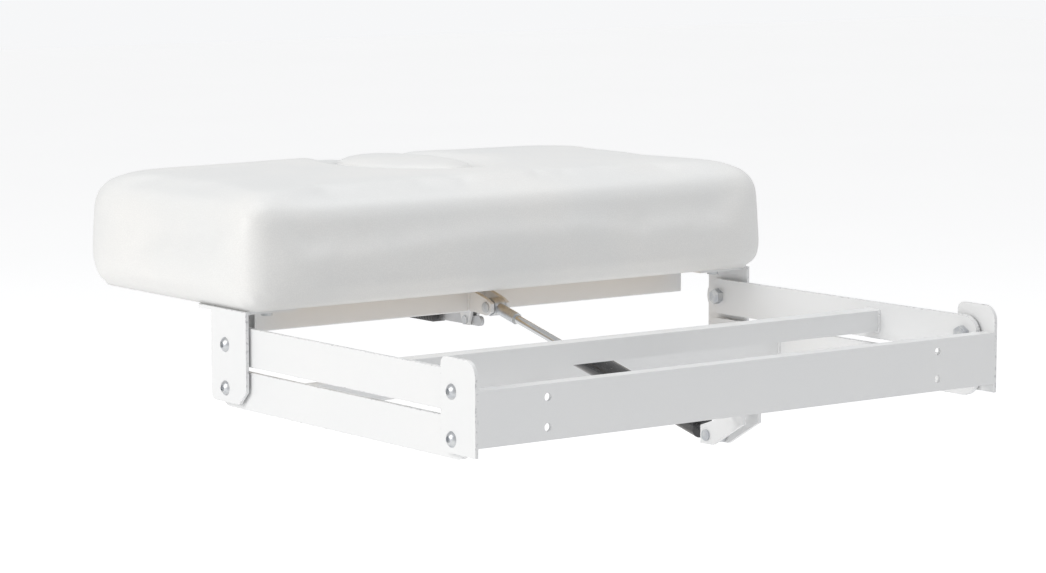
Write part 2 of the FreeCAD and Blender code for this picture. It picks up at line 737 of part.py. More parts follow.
def make_yoke():
    """Square tube welded under both flanges."""
    body = new_body("yoke_tube")
    reach = link_inside - yoke_end_gap
    sketch = sketch_at(body, "yoke_section", "YZ_Plane", -reach)
    for edge_gap in (as_size(0), tube_wall):
        low = flange_bottom_z - yoke_size + edge_gap
        high = flange_bottom_z - edge_gap
        rear = yoke_rear_y + edge_gap
        front = yoke_rear_y + yoke_size - edge_gap
        outline(sketch, [(rear, low), (front, low), (front, high), (rear, high)])
    tube = pad(body, sketch, 2 * reach, "yoke_length")
    round_edges(body, tube, "yoke_corners", tube_wall,
                lambda edge: along(edge, 0) and (near(edge.BoundBox.YMin, yoke_rear_y)
                                                 or near(edge.BoundBox.YMin, yoke_rear_y + yoke_size)))
    keep(body, "yoke_tube")


def make_cushion_fixings():
    """Screws from below through the flanges, and the tee nuts they turn into."""
    screws = []
    nuts = []
    tip = board_top_z + nut_flange_thickness + screw_tip
    for tag, across, ahead in screw_places():
        shank = rod(f"cushion_screw_shank_{tag}", (across, ahead, flange_bottom_z), tip - flange_bottom_z,
                    screw_radius, across=False)
        head = rod(f"cushion_screw_head_{tag}", (across, ahead, flange_bottom_z - screw_head_height),
                   screw_head_height, screw_head_radius, across=False)
        socket = doc.addObject("Part::Prism", f"cushion_screw_socket_{tag}")
        socket.Polygon = 6
        bind(socket, "Circumradius", screw_socket_radius)
        bind(socket, "Height", screw_head_height / 2)
        bind(socket, "Placement.Base.x", across)
        bind(socket, "Placement.Base.y", ahead)
        bind(socket, "Placement.Base.z", flange_bottom_z - screw_head_height)
        screws.append(cut(f"cushion_screw_{tag}", fuse(f"cushion_screw_blank_{tag}", shank, head), socket))
        barrel = rod(f"tee_nut_barrel_{tag}", (across, ahead, board_top_z - nut_barrel_depth),
                     nut_barrel_depth, nut_barrel_radius - press_clearance, across=False)
        flange = rod(f"tee_nut_flange_{tag}", (across, ahead, board_top_z), nut_flange_thickness,
                     nut_flange_radius, across=False)
        bore = rod(f"tee_nut_bore_{tag}", (across, ahead, board_bottom_z),
                   board_thickness + nut_flange_thickness, nut_bore_radius, across=False)
        nuts.append(cut(f"tee_nut_{tag}", fuse(f"tee_nut_blank_{tag}", barrel, flange), bore))
    group("cushion_screws", screws)
    group("tee_nuts", nuts)


# ---------------------------------------------------------------- gas spring and release lever

def ears(label, corners, hole_at, hole_radius, gap, thickness):
    """A pair of upright lugs either side of the middle."""
    pair = []
    for side in (-1, 1):
        name = f"{label}_{side_name(side)}"
        body = new_body(name)
        sketch = sketch_at(body, f"{name}_outline", "YZ_Plane", from_side(side, gap, thickness))
        outline(sketch, corners)
        ring(sketch, *hole_at, hole_radius)
        pad(body, sketch, thickness, f"{name}_sheet")
        pair.append(body)
    return group(label, pair)


def cross_pin(label, place, radius, half_length):
    """A pin along X with a low head at each end."""
    head = radius + pin_head_margin
    shank = rod(f"{label}_shank", (-half_length, *place), 2 * half_length, radius)
    heads = []
    for side in (-1, 1):
        start = from_side(side, half_length, pin_head_thickness)
        heads.append(rod(f"{label}_head_{side_name(side)}", (start, *place), pin_head_thickness, head))
    return keep(fuse(label, shank, *heads), label)


def make_gas_mounts():
    """Rear lugs on the channel, front clevis on the yoke, and a pin through each."""
    gap = gas_eye_width / 2 + gas_side_gap
    low = -channel_height / 2
    bore = gas_pin_radius + press_clearance
    edge = gas_eye_radius
    rear = [(0, low), (channel_depth, low), (gas_rear_y + edge, gas_rear_z + edge),
            (gas_rear_y + edge, gas_rear_z - edge), (gas_rear_y - edge, gas_rear_z - edge), (0, low - edge)]
    ears("gas_spring_lug", rear, (gas_rear_y, gas_rear_z), bore, gap, gas_ear_thickness)
    cross_pin("gas_spring_rear_pin", (gas_rear_y, gas_rear_z), gas_pin_radius, gap + gas_ear_thickness)
    yoke_low = flange_bottom_z - yoke_size
    front = [(yoke_rear_y, yoke_low + tube_wall), (yoke_rear_y, flange_bottom_z - tube_wall),
             (gas_front_y, gas_front_z + edge), (gas_front_y - edge, gas_front_z + edge / 2),
             (gas_front_y - edge, gas_front_z - edge / 2), (gas_front_y, gas_front_z - edge)]
    ears("gas_spring_clevis", front, (gas_front_y, gas_front_z), bore, gap, gas_ear_thickness)
    cross_pin("gas_spring_front_pin", (gas_front_y, gas_front_z), gas_pin_radius, gap + gas_ear_thickness)


def make_gas_spring():
    """Lockable gas spring, made upright from its rear pin and then laid along its line."""
    rise = gas_front_z - gas_rear_z
    run = gas_front_y - gas_rear_y
    length = Size(math.hypot(rise.value, run.value), f"hypot({rise.text}; {run.text})")
    slope = Size(math.degrees(math.atan2(rise.value, run.value)), f"atan2({rise.text}; {run.text})")

    lean = slope - Size(90, "90 deg")

    def lay(thing):
        thing.Placement = FreeCAD.Placement(FreeCAD.Vector(0, gas_rear_y.value, gas_rear_z.value),
                                            FreeCAD.Rotation(FreeCAD.Vector(1, 0, 0), lean.value))
        bind(thing, "Placement.Base.y", gas_rear_y)
        bind(thing, "Placement.Base.z", gas_rear_z)
        bind(thing, "Placement.Rotation.Angle", lean)
        return thing

    def column(name, start, end, radius):
        return rod(name, (0, 0, start), end - start, radius, across=False)

    def eye(name, at, radius, bore):
        disc = rod(f"{name}_disc", (-gas_eye_width / 2, 0, at), gas_eye_width, radius)
        hole = rod(f"{name}_hole", (-gas_eye_width / 2, 0, at), gas_eye_width, bore)
        return disc, hole

    disc, hole = eye("rear_eye", as_size(0), gas_eye_radius, gas_pin_radius + running_clearance)
    stem = column("rear_eye_stem", gas_eye_radius / 2, gas_tube_start, gas_rod_radius)
    keep(lay(cut("gas_spring_rear_eye", fuse("rear_eye_blank", disc, stem), hole)), "gas_spring_rear_eye")

    inner = gas_tube_radius - gas_tube_wall
    hollow = column("cylinder_hollow", gas_tube_start + gas_tube_wall, gas_tube_end, inner)
    barrel = column("cylinder_blank", gas_tube_start, gas_tube_end, gas_tube_radius)
    keep(lay(cut("gas_spring_cylinder", barrel, hollow)), "gas_spring_cylinder")
    guide = column("guide_blank", gas_tube_end - gas_guide_depth, gas_tube_end, inner - press_clearance)
    guide_bore = column("guide_bore", gas_tube_end - gas_guide_depth, gas_tube_end,
                        gas_rod_radius + running_clearance)
    keep(lay(cut("gas_spring_rod_guide", guide, guide_bore)), "gas_spring_rod_guide")

    head_start = length - gas_head_length
    piston = column("piston", gas_piston_station, gas_piston_station + gas_piston_depth,
                    inner - running_clearance)
    stem = column("rod_length", gas_piston_station, head_start, gas_rod_radius)
    keep(lay(fuse("gas_spring_rod", stem, piston)), "gas_spring_rod")
    disc, hole = eye("front_eye", length, gas_head_radius, gas_open_radius)
    neck_end = length - (gas_open_radius + gas_head_radius) / 2
    neck = column("front_eye_neck", head_start, neck_end, gas_neck_radius)
    head = cut("gas_spring_release_head", fuse("front_eye_blank", disc, neck), hole)
    keep(lay(head), "gas_spring_release_head")


def make_release_lever():
    """Lever under the yoke that presses the release pin, with its bracket, pin and grip."""
    gap = lever_thickness / 2 + lever_ear_gap
    yoke_low = flange_bottom_z - yoke_size
    half = lever_height / 2
    corners = [(lever_pivot_y - lever_height, yoke_low), (lever_pivot_y - half, lever_pivot_z - half),
               (lever_pivot_y + half, lever_pivot_z - half), (lever_pivot_y + lever_height, yoke_low)]
    ears("lever_bracket", corners, (lever_pivot_y, lever_pivot_z), lever_pin_radius + press_clearance, gap,
         lever_ear_thickness)
    cross_pin("lever_pin", (lever_pivot_y, lever_pivot_z), lever_pin_radius, gap + lever_ear_thickness)

    body = new_body("release_lever")
    sketch = sketch_at(body, "lever_outline", "YZ_Plane", -lever_thickness / 2)
    rear = lever_pivot_y - lever_tail
    front = lever_pivot_y + lever_reach
    outline(sketch, [(rear, lever_pivot_z - half), (front, lever_pivot_z - half),
                     (front, lever_pivot_z + half), (rear, lever_pivot_z + half)])
    ring(sketch, lever_pivot_y, lever_pivot_z, lever_pin_radius + running_clearance)
    bar = pad(body, sketch, lever_thickness, "lever_bar")
    round_edges(body, bar, "lever_ends", half - lever_ear_gap, lambda edge: along(edge, 0)
                and (near(edge.BoundBox.YMin, rear) or near(edge.BoundBox.YMin, front)))
    keep(body, "release_lever")

    body = new_body("grip_body")
    sketch = sketch_at(body, "grip_section", "XY_Plane", lever_pivot_z - grip_height / 2)
    grip_end = front + grip_cover
    grip_start = grip_end - grip_length
    outline(sketch, [(-grip_width / 2, grip_start), (grip_width / 2, grip_start),
                     (grip_width / 2, grip_end), (-grip_width / 2, grip_end)])
    block = pad(body, sketch, grip_height, "grip_block")
    block = round_edges(body, block, "grip_sides", grip_width / 2 - press_clearance,
                        lambda edge: along(edge, 2) and near(edge.BoundBox.YMin, grip_end))
    low = lever_pivot_z - grip_height / 2
    high = lever_pivot_z + grip_height / 2
    round_edges(body, block, "grip_rims", grip_rounding,
                lambda edge: on_level(edge, low) or on_level(edge, high))
    corner = (-lever_thickness / 2 - press_clearance, grip_start, lever_pivot_z - half - press_clearance)
    lengths = (lever_thickness + 2 * press_clearance, front - grip_start + press_clearance,
               lever_height + 2 * press_clearance)
    slot = box_tool("grip_slot", corner, lengths)
    keep(cut("lever_grip", body, slot), "lever_grip")


make_cushion()
make_plug()
make_links("upper", upper_pivot_z, upper_tube_station)
make_links("lower", lower_pivot_z, lower_tube_station)
make_pivots("rear", rear_pivot_station)
make_pivots("front", head_pivot_y)
make_bed_end()
make_head_plates()
make_yoke()
make_cushion_fixings()
make_gas_mounts()
make_gas_spring()
make_release_lever()

doc.recompute()
faults = [thing.Name for thing in doc.Objects if {"Invalid", "Error"} & set(thing.State)]
faults += [thing.Label for thing in finished if thing.Shape.isNull() or not thing.Shape.isValid()]
if faults:
    raise SystemExit("these pieces failed: " + ", ".join(faults))

os.makedirs("parts", exist_ok=True)
for thing in finished:
    thing.Shape.exportStep(f"parts/{thing.Label}.step")
    print(f"{thing.Label}: {len(thing.Shape.Solids)} solid(s), {thing.Shape.Volume / 1000:.1f} cm3")
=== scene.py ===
import math

import bmesh
import bpy
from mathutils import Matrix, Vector, noise


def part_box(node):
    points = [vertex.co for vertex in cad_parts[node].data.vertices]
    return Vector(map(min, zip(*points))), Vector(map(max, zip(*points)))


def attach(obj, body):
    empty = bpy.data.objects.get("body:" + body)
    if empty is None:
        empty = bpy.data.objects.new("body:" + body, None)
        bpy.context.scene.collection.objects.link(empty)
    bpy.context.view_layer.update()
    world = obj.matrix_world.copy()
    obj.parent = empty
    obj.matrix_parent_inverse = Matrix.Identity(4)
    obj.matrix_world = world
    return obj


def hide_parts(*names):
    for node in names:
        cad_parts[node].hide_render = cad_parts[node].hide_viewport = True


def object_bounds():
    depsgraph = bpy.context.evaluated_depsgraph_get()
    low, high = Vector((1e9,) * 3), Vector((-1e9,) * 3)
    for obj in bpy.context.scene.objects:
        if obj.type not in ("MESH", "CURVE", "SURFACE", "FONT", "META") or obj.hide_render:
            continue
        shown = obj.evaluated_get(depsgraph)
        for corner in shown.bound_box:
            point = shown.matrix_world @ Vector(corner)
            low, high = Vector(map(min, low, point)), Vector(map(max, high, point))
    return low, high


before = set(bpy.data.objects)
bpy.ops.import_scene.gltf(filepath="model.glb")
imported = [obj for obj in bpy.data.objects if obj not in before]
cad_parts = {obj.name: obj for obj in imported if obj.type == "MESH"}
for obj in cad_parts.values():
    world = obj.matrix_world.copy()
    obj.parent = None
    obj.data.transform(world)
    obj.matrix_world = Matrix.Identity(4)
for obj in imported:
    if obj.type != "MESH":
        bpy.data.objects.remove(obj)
cad_low, cad_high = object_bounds()


# ---------------------------------------------------------------- room and camera
# The head section hangs from the bed it is bolted to, so the pale floor lies below it, clear of its travel.
# A wide soft lamp on the near side leaves the cushion's side a little brighter than its top. The camera
# stands off the near rear corner, just above the cushion, with a long lens.

class Link:
    """A node's output. Sums, products and powers of outputs add Math nodes."""

    def __init__(self, graph, out):
        self.graph, self.out = graph, out

    def __getitem__(self, name):
        return Link(self.graph, self.out.node.outputs[name])

    def maths(self, operation, *values):
        return self.graph.node("ShaderNodeMath", {"operation": operation}, dict(enumerate(values)))

    def __add__(self, other):
        return self.maths("ADD", self, other)

    def __radd__(self, other):
        return self.maths("ADD", other, self)

    def __sub__(self, other):
        return self.maths("SUBTRACT", self, other)

    def __rsub__(self, other):
        return self.maths("SUBTRACT", other, self)

    def __mul__(self, other):
        return self.maths("MULTIPLY", self, other)

    def __rmul__(self, other):
        return self.maths("MULTIPLY", other, self)

    def __truediv__(self, other):
        return self.maths("DIVIDE", self, other)

    def __rtruediv__(self, other):
        return self.maths("DIVIDE", other, self)

    def __pow__(self, other):
        return self.maths("POWER", self, other)

    def __abs__(self):
        return self.maths("ABSOLUTE", self)

    def least(self, other):
        return self.maths("MINIMUM", self, other)

    def most(self, other):
        return self.maths("MAXIMUM", self, other)

    def step(self, low, high):
        """0 below low, 1 above high, smooth between."""
        values = {"Value": self, "From Min": low, "From Max": high}
        return self.graph.node("ShaderNodeMapRange", {"interpolation_type": "SMOOTHSTEP"}, values)


class Graph:
    """A node tree that grows one node at a time."""

    def __init__(self, tree):
        self.tree = tree

    def node(self, kind, settings=None, values=None, out=0):
        made = self.tree.nodes.new(kind)
        for setting, value in (settings or {}).items():
            if setting == "stops":
                for stop, (place, colour) in zip(made.color_ramp.elements, value):
                    stop.position, stop.color = place, colour
            else:
                setattr(made, setting, value)
        for key, value in (values or {}).items():
            if isinstance(value, Link):
                self.tree.links.new(value.out, made.inputs[key])
            else:
                made.inputs[key].default_value = value
        return Link(self, made.outputs[out])


class Finish(Graph):
    """A material under way."""

    def __init__(self, name):
        self.material = bpy.data.materials.new(name)
        self.material.use_nodes = True
        super().__init__(self.material.node_tree)
        self.tree.nodes.clear()
        self.place = self.node("ShaderNodeTexCoord", out="Object")
        axes = self.node("ShaderNodeSeparateXYZ", values={0: self.place})
        self.x, self.y, self.z = axes["X"], axes["Y"], axes["Z"]

    def mottle(self, scale, detail=2.0, place=None):
        """Soft noise from 0 to 1, with so many lumps to the metre."""
        values = {"Vector": place or self.place, "Scale": scale, "Detail": detail}
        return self.node("ShaderNodeTexNoise", None, values)

    def stretched(self, *scales):
        """The place, squeezed along each axis."""
        return self.node("ShaderNodeMapping", None, {"Vector": self.place, "Scale": scales})

    def mix(self, factor, first, second):
        """A colour between two colours."""
        return self.node("ShaderNodeMix", {"data_type": "RGBA"}, {0: factor, 6: first, 7: second}, 2)

    def bump(self, height, depth, strength=1.0):
        sizes = {"Height": height, "Distance": depth, "Strength": strength}
        return self.node("ShaderNodeBump", None, sizes)

    def done(self, **sockets):
        """Close the tree with a Principled surface; underlines in a name stand for spaces."""
        values = {name.replace("_", " "): value for name, value in sockets.items()}
        surface = self.node("ShaderNodeBsdfPrincipled", None, values)
        self.node_output(surface)
        return self.material

    def node_output(self, surface):
        output = self.tree.nodes.new("ShaderNodeOutputMaterial")
        self.tree.links.new(surface.out, output.inputs["Surface"])


def link_object(name, data):
    made = bpy.data.objects.new(name, data)
    bpy.context.scene.collection.objects.link(made)
    return made


centre = (cad_low + cad_high) / 2
azimuth, elevation = math.radians(-37), math.radians(7)
back = Vector((math.sin(azimuth) * math.cos(elevation), -math.cos(azimuth) * math.cos(elevation),
               math.sin(elevation)))
camera = link_object("camera", bpy.data.cameras.new("camera"))
camera.data.sensor_width = 36
camera.data.lens = 116
camera.data.clip_end = 60
stand_off = 4.0
camera.location = centre + back * stand_off
camera.rotation_mode = "QUATERNION"
camera.rotation_quaternion = (-back).to_track_quat("-Z", "Y")
bpy.context.scene.camera = camera

floor_level = -0.42
floor_mesh = bpy.data.meshes.new("floor")
reach = 14
corners = [(-reach, -reach, floor_level), (reach, -reach, floor_level), (reach, reach, floor_level),
           (-reach, reach, floor_level)]
floor_mesh.from_pydata(corners, [], [(0, 1, 2, 3)])
floor = link_object("floor", floor_mesh)
pale = Finish("pale_floor")
behind = pale.node("ShaderNodeNewGeometry", out="Backfacing")
tone = pale.mix(pale.mottle(1.5, 3.0), (0.90, 0.90, 0.90, 1), (0.93, 0.93, 0.93, 1))
seen = pale.node("ShaderNodeLightPath", out="Is Camera Ray")
matt = pale.node("ShaderNodeBsdfPrincipled", None,
                 {"Base Color": tone, "Roughness": 0.8, "Emission Color": (1, 1, 1, 1),
                  "Emission Strength": 0.10 + seen * 0.28})
clear = pale.node("ShaderNodeBsdfTransparent")
pale.node_output(pale.node("ShaderNodeMixShader", None, {0: behind, 1: matt, 2: clear}))
floor_mesh.materials.append(pale.material)

world = bpy.data.worlds.new("sky")
world.use_nodes = True
world.node_tree.nodes.clear()
sky = Graph(world.node_tree)
seen = sky.node("ShaderNodeLightPath", out="Is Camera Ray")
dome = sky.node("ShaderNodeBackground", None,
                {"Color": (0.985, 0.99, 1.0, 1), "Strength": 0.60 + seen * 0.34})
world.node_tree.links.new(dome.out, world.node_tree.nodes.new("ShaderNodeOutputWorld").inputs[0])
bpy.context.scene.world = world
bpy.context.scene.view_settings.view_transform = "Standard"


def lamp(name, place, aim, size, watts, colour):
    light = bpy.data.lights.new(name, "AREA")
    light.shape, light.size, light.energy, light.color = "DISK", size, watts, colour
    made = link_object(name, light)
    made.location = place
    made.rotation_mode = "QUATERNION"
    made.rotation_quaternion = (Vector(aim) - Vector(place)).to_track_quat("-Z", "Y")
    return made


lamp("key_lamp", (-3.3, 0.5, 1.35), centre, 2.0, 50, (1.0, 0.985, 0.96))
lamp("top_lamp", (0.6, 0.4, 2.8), centre, 2.4, 34, (0.97, 0.985, 1.0))
lamp("rear_lamp", (0.9, -2.8, 1.1), centre, 1.8, 3, (1.0, 0.99, 0.97))


# ---------------------------------------------------------------- cushion
# Upholstery foam on a plywood board, pulled into one smooth white leatherette cover with no piping. It
# lines the oval breathing hole, wraps under the board and is stapled there, with small pleats where it
# turns the corners. The top is slightly crowned and the roll under the head end is the fullest.

cover_low, cover_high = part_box("cushion_cover")
board_low, board_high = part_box("base_board")
plug_low, plug_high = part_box("plug_cover")
hole_y = (plug_low.y + plug_high.y) / 2
hole_across, hole_along = 0.075, 0.110
head_round, rear_round = 0.090, 0.032
middle_y = (cover_low.y + cover_high.y) / 2
half_width, half_length = (cover_high.x - cover_low.x) / 2, (cover_high.y - cover_low.y) / 2
underside = cover_low.z + 0.0003
spokes = 288


def smooth(value, low, high):
    share = min(1.0, max(0.0, (value - low) / (high - low)))
    return share * share * (3 - 2 * share)


def edge_distance(x, y, inset):
    """Signed distance in plan to the cushion's outline, moved in by inset: below 0 inside it."""
    ahead = y - middle_y
    rounding = max(0.004, (head_round if ahead > 0 else rear_round) - inset)
    over_x = abs(x) - (half_width - inset - rounding)
    over_y = abs(ahead) - (half_length - inset - rounding)
    outside = math.hypot(max(over_x, 0), max(over_y, 0))
    return outside + min(max(over_x, over_y), 0) - rounding


def outline_ring(inset):
    """The outline moved in by inset, as one point on each spoke round the hole's centre."""
    ring = []
    for spoke in range(spokes):
        angle = 2 * math.pi * spoke / spokes
        across, along = math.cos(angle), math.sin(angle)
        near, far = 0.0, 0.9
        for _ in range(22):
            half = (near + far) / 2
            if edge_distance(across * half, hole_y + along * half, inset) < 0:
                near = half
            else:
                far = half
        ring.append((across * near, hole_y + along * near))
    return ring


def hole_ring(grow):
    """The breathing hole's oval, wider by grow, on the same spokes."""
    ring = []
    for spoke in range(spokes):
        angle = 2 * math.pi * spoke / spokes
        across, along = math.cos(angle), math.sin(angle)
        reach = 1 / math.hypot(across / (hole_across + grow), along / (hole_along + grow))
        ring.append((across * reach, hole_y + along * reach))
    return ring


def tube_mesh(name, rings):
    """A closed ring-shaped mesh through rings of points, the last joined to the first."""
    mesh = bpy.data.meshes.new(name)
    points = [point for ring in rings for point in ring]
    count = len(rings)
    faces = []
    for step in range(count):
        for spoke in range(spokes):
            after = (spoke + 1) % spokes
            ahead = (step + 1) % count
            faces.append((step * spokes + spoke, step * spokes + after, ahead * spokes + after,
                          ahead * spokes + spoke))
    mesh.from_pydata(points, [], faces)
    shape = bmesh.new()
    shape.from_mesh(mesh)
    bmesh.ops.recalc_face_normals(shape, faces=shape.faces)
    shape.to_mesh(mesh)
    shape.free()
    return mesh


def cushion_rings(draw_in):
    """The cushion's rings: under the board, round the lower roll, up the side, over the top, down inside."""
    lower_roll, upper_roll, roll_height, end_height = 0.022, 0.031, 0.027, 0.019
    outside = {}

    def level_ring(inset, heights):
        key = round(inset + draw_in, 6)
        if key not in outside:
            outside[key] = outline_ring(key)
        return [(x, y, height) for (x, y), height in zip(outside[key], heights)]

    top = [cover_high.z - draw_in - 0.0045 * (1 - smooth(-edge_distance(x, y, 0), 0.02, 0.16))
           for x, y in outline_ring(0.03)]
    fullness = [smooth(y, cover_high.y - 0.15, cover_high.y - 0.03) for x, y in outline_ring(0)]
    rings = []
    lining, round_hole = hole_ring(0.0006), hole_ring(0.004)
    before_roll = level_ring(0.026, [underside] * spokes)
    for share in (0, 0.2, 0.4, 0.6, 0.8, 1):
        rings.append([(x + (far_x - x) * share, y + (far_y - y) * share, underside)
                      for (x, y), (far_x, far_y, _) in zip(round_hole, before_roll)])
    for step in range(1, 9):
        turn = math.pi / 2 * step / 8
        out = lower_roll * (1 - math.sin(turn))
        heights = []
        for full in fullness:
            tall = roll_height + end_height * full
            heights.append(underside + tall * (1 - math.cos(turn)))
        rings.append(level_ring(out, heights))
    for share in (0.25, 0.5, 0.75):
        heights = [underside + roll_height + end_height * full
                   + share * (high - upper_roll - underside - roll_height - end_height * full)
                   for full, high in zip(fullness, top)]
        rings.append(level_ring(0, heights))
    for step in range(0, 9):
        turn = math.pi / 2 * step / 8
        rings.append(level_ring(upper_roll * (1 - math.cos(turn)),
                                [high - upper_roll * (1 - math.sin(turn)) for high in top]))
    outer = rings[-1]
    rim = 0.013
    crest = cover_high.z - draw_in + 0.0015
    inner = [(x, y) for x, y in hole_ring(rim)]
    for share in (0.18, 0.38, 0.6, 0.82, 1.0):
        ring = []
        for (x, y, z), (rim_x, rim_y) in zip(outer, inner):
            rise = math.sin(share * math.pi / 2)
            ring.append((x + (rim_x - x) * share, y + (rim_y - y) * share, z + (crest - z) * rise))
        rings.append(ring)
    for step in range(1, 6):
        turn = math.pi / 2 * step / 5
        rings.append([(x, y, crest - rim * (1 - math.cos(turn)))
                      for x, y in hole_ring(0.0006 + rim * (1 - math.sin(turn)))])
    for share in (0.25, 0.5, 0.75, 0.97):
        rings.append([(x, y, crest - rim + (underside + 0.004 - crest + rim) * share) for x, y in lining])
    return rings


def in_object_mode(piece):
    bpy.ops.object.select_all(action="DESELECT")
    bpy.context.view_layer.objects.active = piece
    piece.select_set(True)


def use_up(piece, modifier):
    in_object_mode(piece)
    bpy.ops.object.modifier_apply(modifier=modifier.name)


def clean_cut(piece, weld=0.00002, scrap=100):
    """Weld the slivers a cut leaves on its rim, and drop faces folded onto each other and loose scraps."""
    shape = bmesh.new()
    shape.from_mesh(piece.data)
    bmesh.ops.remove_doubles(shape, verts=shape.verts, dist=weld)
    bmesh.ops.dissolve_degenerate(shape, edges=shape.edges, dist=weld)
    bmesh.ops.triangulate(shape, faces=shape.faces)
    alike = {}
    for face in shape.faces:
        alike.setdefault(frozenset(face.verts), []).append(face)
    folded = [face for group in alike.values() if len(group) > 1 for face in group]
    bmesh.ops.delete(shape, geom=folded, context="FACES")
    unseen = set(shape.faces)
    while unseen:
        island, waiting = set(), [unseen.pop()]
        while waiting:
            face = waiting.pop()
            island.add(face)
            for edge in face.edges:
                for other in edge.link_faces:
                    if other in unseen:
                        unseen.discard(other)
                        waiting.append(other)
        if len(island) < scrap:
            bmesh.ops.delete(shape, geom=list(island), context="FACES")
    bare = [vertex for vertex in shape.verts if not vertex.link_faces]
    bmesh.ops.delete(shape, geom=bare, context="VERTS")
    shape.to_mesh(piece.data)
    shape.free()


def blow_up(piece, voxel, cap, held, pressure=4.0):
    """Remesh a padded piece and let its cover swell by at most cap; held is 1 where it is fixed down."""
    remesh = piece.modifiers.new("even", "REMESH")
    remesh.mode, remesh.voxel_size, remesh.use_smooth_shade = "VOXEL", voxel, True
    use_up(piece, remesh)
    soften = piece.modifiers.new("soften", "SMOOTH")
    soften.factor, soften.iterations = 0.5, 4
    use_up(piece, soften)
    before = [vertex.co.copy() for vertex in piece.data.vertices]
    holding = piece.vertex_groups.new(name="held")
    for number, place in enumerate(before):
        grip = held(place.x, place.y, place.z)
        if grip > 0:
            holding.add([number], grip, "REPLACE")
    cloth = piece.modifiers.new("cover", "CLOTH")
    settings = cloth.settings
    settings.quality, settings.mass = 4, 0.5
    settings.tension_stiffness = settings.compression_stiffness = settings.shear_stiffness = 30
    settings.bending_stiffness = 2
    settings.use_pressure, settings.uniform_pressure_force = True, pressure
    settings.effector_weights.gravity = 0
    settings.vertex_group_mass = holding.name
    cloth.collision_settings.use_collision = False
    cloth.point_cache.frame_start, cloth.point_cache.frame_end = 1, 20
    for number in range(1, 21):
        bpy.context.scene.frame_set(number)
    swollen = piece.evaluated_get(bpy.context.evaluated_depsgraph_get())
    after = [vertex.co.copy() for vertex in swollen.data.vertices]
    piece.modifiers.remove(cloth)
    bpy.context.scene.frame_set(1)
    for vertex, old, new in zip(piece.data.vertices, before, after):
        move = new - old
        free = 1 - held(old.x, old.y, old.z)
        if move.length > 0:
            vertex.co = old + move * free * min(1.0, cap / move.length)
    soften = piece.modifiers.new("settle", "SMOOTH")
    soften.factor, soften.iterations = 0.5, 6
    use_up(piece, soften)
    piece.vertex_groups.clear()
    finer = piece.modifiers.new("finer", "SUBSURF")
    finer.levels = finer.render_levels = 1
    use_up(piece, finer)
    for face in piece.data.polygons:
        face.use_smooth = True


def cushion_held(x, y, z):
    """The cover is fixed under the board and against the foam inside the hole."""
    from_hole = math.hypot(x / hole_across, (y - hole_y) / hole_along)
    below_top = 1 - smooth(z, cover_high.z - 0.016, cover_high.z - 0.004)
    lined = (1 - smooth(from_hole, 1.02, 1.14)) * below_top
    return max(1 - smooth(z, underside + 0.002, underside + 0.022), lined)


cushion = link_object("cushion", tube_mesh("cushion", cushion_rings(0.0035)))
blow_up(cushion, 0.0068, 0.0065, cushion_held)

# Where the cover turns under, it lies in small pleats round the corners, and the pull of the staples
# leaves faint dimples along the lower roll.
for vertex in cushion.data.vertices:
    x, y, z = vertex.co
    inside = -edge_distance(x, y, 0)
    low = 1 - smooth(z, underside + 0.004, underside + 0.034)
    if z < underside or (z < board_low.z + 0.004 and inside > 0.0215):
        vertex.co.z = underside
        continue
    if low <= 0 or inside > 0.06:
        continue
    angle = math.atan2(y - middle_y, x)
    corner = (smooth(abs(x), half_width - 0.10, half_width - 0.02)
              * smooth(abs(y - middle_y), half_length - 0.10, half_length - 0.02))
    pleat = abs(math.sin(angle * 64 + 3 * noise.noise((x * 9, y * 9, 0.3)))) ** 3
    shrink = 0.0016 * corner * pleat * low * smooth(z, underside, underside + 0.006)
    dimple = 0.5 + 0.5 * math.cos((x + y) * 2 * math.pi / 0.03)
    shrink += 0.0006 * low * dimple * smooth(z, underside, underside + 0.01)
    toward = Vector((-x, middle_y - y, 0)).normalized()
    vertex.co += toward * shrink
    if vertex.co.z < underside:
        vertex.co.z = underside

# The room the board takes up inside the cover, and the opening between the turned-under edges.
once_round = 6.283
rough = [0.0016 * noise.noise((math.cos(once_round * spoke / spokes) * 6,
                               math.sin(once_round * spoke / spokes) * 6, 4.2)) for spoke in range(spokes)]
board_inset = board_low.x - cover_low.x - 0.0003
wrap_edge = [(x * (1 + wave), hole_y + (y - hole_y) * (1 + wave))
             for (x, y), wave in zip(outline_ring(0.034), rough)]
hole_edge = [(x * (1 + 2 * wave), hole_y + (y - hole_y) * (1 + 2 * wave))
             for (x, y), wave in zip(hole_ring(0.024), rough)]
lip_top = board_low.z - 0.0001
above = board_high.z + 0.0003
below = underside - 0.01
board_edge, board_hole = outline_ring(board_inset), hole_ring(0.0017)
space = []
for ring, height in ((wrap_edge, below), (wrap_edge, lip_top), (board_edge, lip_top), (board_edge, above),
                     (board_hole, above), (board_hole, lip_top), (hole_edge, lip_top), (hole_edge, below)):
    space.append([(x, y, height) for x, y in ring])
board_space = link_object("board_space", tube_mesh("board_space", space))
hollow = cushion.modifiers.new("hollow", "BOOLEAN")
hollow.operation, hollow.object, hollow.solver = "DIFFERENCE", board_space, "EXACT"
use_up(cushion, hollow)
clean_cut(cushion)
bpy.data.objects.remove(board_space)
for face in cushion.data.polygons:
    face.use_smooth = True
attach(cushion, "head_section")
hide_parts("cushion_cover", "foam_core")

